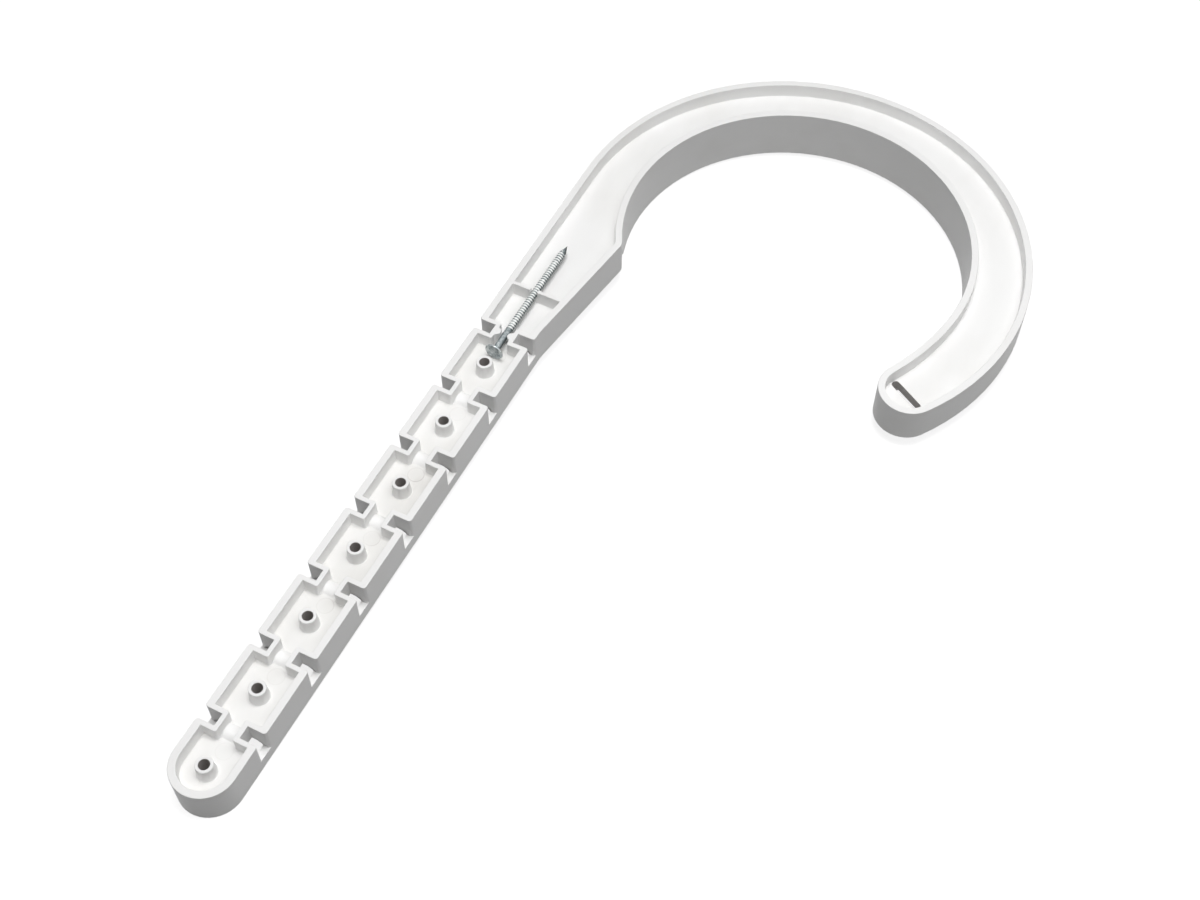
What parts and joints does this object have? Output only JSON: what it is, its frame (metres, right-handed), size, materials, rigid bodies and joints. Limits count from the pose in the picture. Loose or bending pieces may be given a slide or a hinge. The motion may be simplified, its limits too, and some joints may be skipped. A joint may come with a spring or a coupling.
{
  "type": "pipe j-hook",
  "caption": "White plastic nail-on J-hook for a drain pipe, with a hollow break-off stem of nail holes, a wide round seat and a ring-shank nail clipped in the tray",
  "frame": {"origin": "on the axis of the pipe the hook holds, in the plane of the stem's back rim", "axes": "+X along the stem towards the hook, +Y from the pipe's axis towards the stem, +Z along the pipe, out of the open front"},
  "size_m": [0.3286, 0.1538, 0.0195],
  "materials": {
    "plastic": "satin white moulded plastic",
    "zinc": "bright zinc plate on steel"
  },
  "bodies": {
    "root": {"j_hook": "plastic", "nail": "zinc"}
  },
  "joints": []
}
